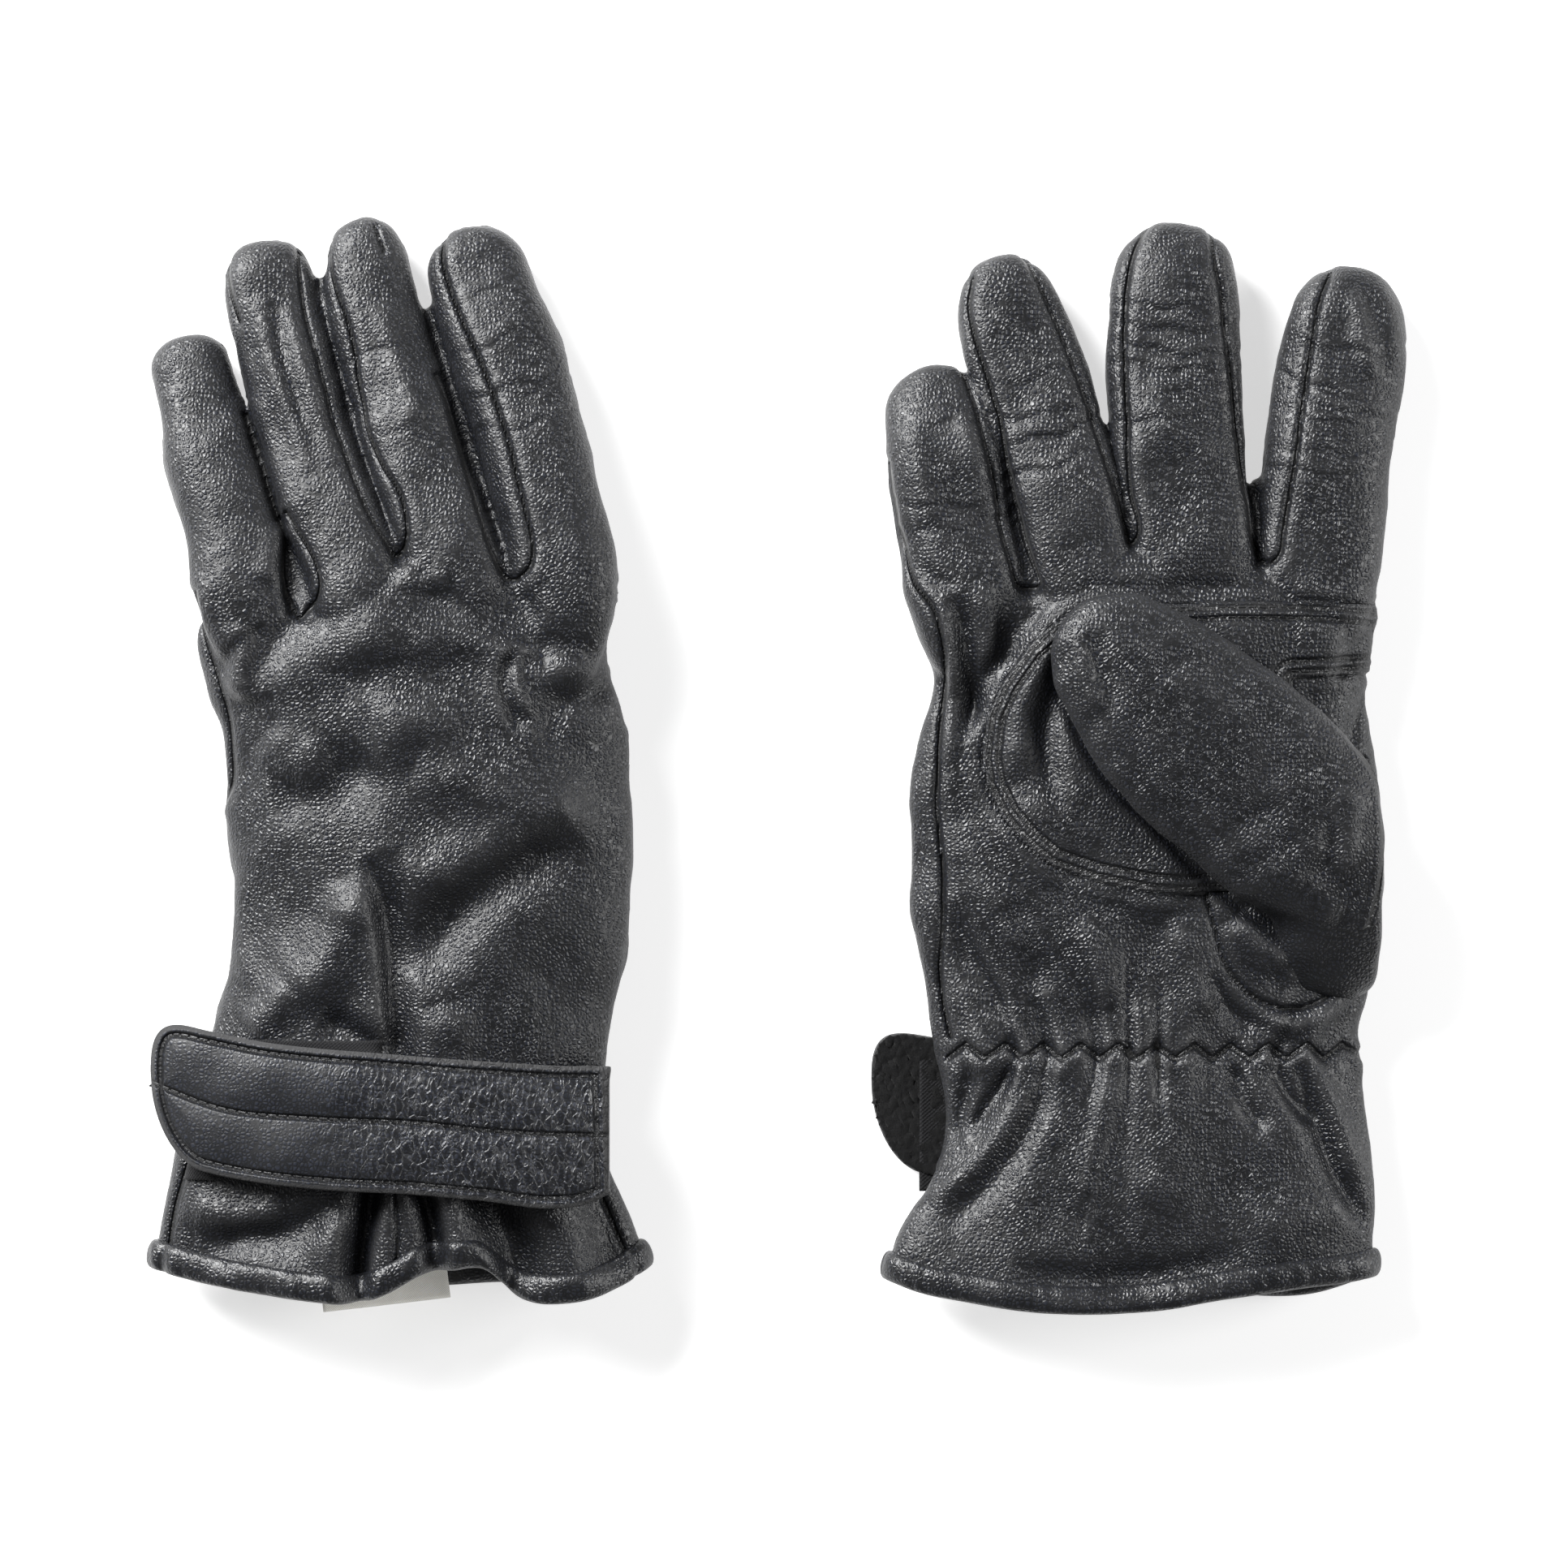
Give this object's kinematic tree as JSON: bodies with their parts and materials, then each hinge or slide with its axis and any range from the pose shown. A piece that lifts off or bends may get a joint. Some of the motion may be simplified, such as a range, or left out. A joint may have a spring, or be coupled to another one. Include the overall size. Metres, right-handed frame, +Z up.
{
  "type": "riding gloves",
  "caption": "Pair of lined leather riding gloves lying flat, one back up and one palm up, with hinged fingers, thumbs and wrist straps.",
  "frame": {"origin": "centre of the footprint of the pair, on the table it lies on", "axes": "+Y from the cuff mouths to the fingertips, +X from the left glove to the right glove, +Z up from the table"},
  "size_m": [0.3216, 0.2812, 0.0387],
  "materials": {
    "shell_leather": "pebble-grained black leather, soft sheen",
    "patch_leather": "second layer of the same leather, edge stitched twice",
    "strap_leather": "thicker black leather, creased, raw edge lighter",
    "hem_leather": "leather rolled over the cuff mouth",
    "elastic_band": "woven elastic, zigzag stitched",
    "fleece_lining": "short grey-green fleece",
    "hook_tape": "woven black hook tape",
    "pile_tape": "fuzzy black pile",
    "label_tape": "plain white woven tape, blank"
  },
  "bodies": {
    "left_hand": {"left_back_panel": "shell_leather", "left_palm_panel": "shell_leather", "left_side_gusset": "shell_leather", "left_thumb_gusset": "shell_leather", "left_palm_patch": "patch_leather", "left_cuff_back": "shell_leather", "left_cuff_palm": "shell_leather", "left_cuff_gusset": "shell_leather", "left_hem_binding": "hem_leather", "left_wrist_elastic": "elastic_band", "left_hand_lining": "fleece_lining", "left_hook_patch": "hook_tape", "left_strap_base": "strap_leather", "left_care_label": "label_tape"},
    "left_strap": {"left_strap": "strap_leather", "left_strap_pile": "pile_tape"},
    "left_thumb": {"left_thumb_outer": "shell_leather", "left_thumb_inner": "shell_leather"},
    "left_little": {"left_little_palm": "shell_leather", "left_little_back": "shell_leather", "left_little_fourchettes": "shell_leather"},
    "left_ring": {"left_ring_palm": "shell_leather", "left_ring_back": "shell_leather", "left_ring_fourchettes": "shell_leather"},
    "left_middle": {"left_middle_palm": "shell_leather", "left_middle_back": "shell_leather", "left_middle_fourchettes": "shell_leather"},
    "left_index": {"left_index_palm": "shell_leather", "left_index_back": "shell_leather", "left_index_fourchettes": "shell_leather"},
    "right_hand": {"right_back_panel": "shell_leather", "right_palm_panel": "shell_leather", "right_side_gusset": "shell_leather", "right_thumb_gusset": "shell_leather", "right_palm_patch": "patch_leather", "right_cuff_back": "shell_leather", "right_cuff_palm": "shell_leather", "right_cuff_gusset": "shell_leather", "right_hem_binding": "hem_leather", "right_wrist_elastic": "elastic_band", "right_hand_lining": "fleece_lining", "right_hook_patch": "hook_tape", "right_strap_base": "strap_leather"},
    "right_strap": {"right_strap": "strap_leather", "right_strap_pile": "pile_tape"},
    "right_thumb": {"right_thumb_outer": "shell_leather", "right_thumb_inner": "shell_leather"},
    "right_little": {"right_little_palm": "shell_leather", "right_little_back": "shell_leather", "right_little_fourchettes": "shell_leather"},
    "right_ring": {"right_ring_palm": "shell_leather", "right_ring_back": "shell_leather", "right_ring_fourchettes": "shell_leather"},
    "right_middle": {"right_middle_palm": "shell_leather", "right_middle_back": "shell_leather", "right_middle_fourchettes": "shell_leather"},
    "right_index": {"right_index_palm": "shell_leather", "right_index_back": "shell_leather", "right_index_fourchettes": "shell_leather"}
  },
  "joints": [
    {"name": "left_little_flex", "type": "hinge", "parent": "left_hand", "child": "left_little", "pos_m": [-0.1357, 0.0418, 0.0143], "axis": [-0.9763, -0.2164, 0], "range_deg": [0, 80]},
    {"name": "left_ring_flex", "type": "hinge", "parent": "left_hand", "child": "left_ring", "pos_m": [-0.1079, 0.0468, 0.0143], "axis": [-0.9659, -0.2588, 0], "range_deg": [0, 80]},
    {"name": "left_middle_flex", "type": "hinge", "parent": "left_hand", "child": "left_middle", "pos_m": [-0.0824, 0.0518, 0.0143], "axis": [-0.9659, -0.2588, 0], "range_deg": [0, 80]},
    {"name": "left_index_flex", "type": "hinge", "parent": "left_hand", "child": "left_index", "pos_m": [-0.0545, 0.0508, 0.0143], "axis": [-0.9613, -0.2756, 0], "range_deg": [0, 80]},
    {"name": "left_thumb_open", "type": "hinge", "parent": "left_hand", "child": "left_thumb", "pos_m": [-0.054, -0.0202, 0], "axis": [-0.6947, -0.7193, 0], "range_deg": [0, 80]},
    {"name": "left_strap_open", "type": "hinge", "parent": "left_hand", "child": "left_strap", "pos_m": [-0.04735, -0.0882, 0.0387], "axis": [0, 1, 0], "range_deg": [0, 150]},
    {"name": "right_little_flex", "type": "hinge", "parent": "right_hand", "child": "right_little", "pos_m": [0.0477, 0.043, 0.0204], "axis": [0.9816, 0.1908, 0], "range_deg": [0, 80]},
    {"name": "right_ring_flex", "type": "hinge", "parent": "right_hand", "child": "right_ring", "pos_m": [0.0757, 0.052, 0.0214], "axis": [0.9816, 0.1908, 0], "range_deg": [0, 80]},
    {"name": "right_middle_flex", "type": "hinge", "parent": "right_hand", "child": "right_middle", "pos_m": [0.1059, 0.052, 0.0214], "axis": [0.9976, 0.0698, 0], "range_deg": [0, 80]},
    {"name": "right_index_flex", "type": "hinge", "parent": "right_hand", "child": "right_index", "pos_m": [0.1362, 0.047, 0.0214], "axis": [0.9866, -0.1633, 0], "range_deg": [0, 80]},
    {"name": "right_thumb_open", "type": "hinge", "parent": "right_hand", "child": "right_thumb", "pos_m": [0.1345, -0.024, 0.0387], "axis": [0.6947, 0.7193, 0], "range_deg": [0, 80]},
    {"name": "right_strap_open", "type": "hinge", "parent": "right_hand", "child": "right_strap", "pos_m": [0.14115, -0.092, 0], "axis": [0, -1, 0], "range_deg": [0, 150]},
    {"name": "gloves_apart", "type": "slide", "parent": "left_hand", "child": "right_hand", "axis": [1, 0, 0], "range_m": [0, 0.1]}
  ]
}
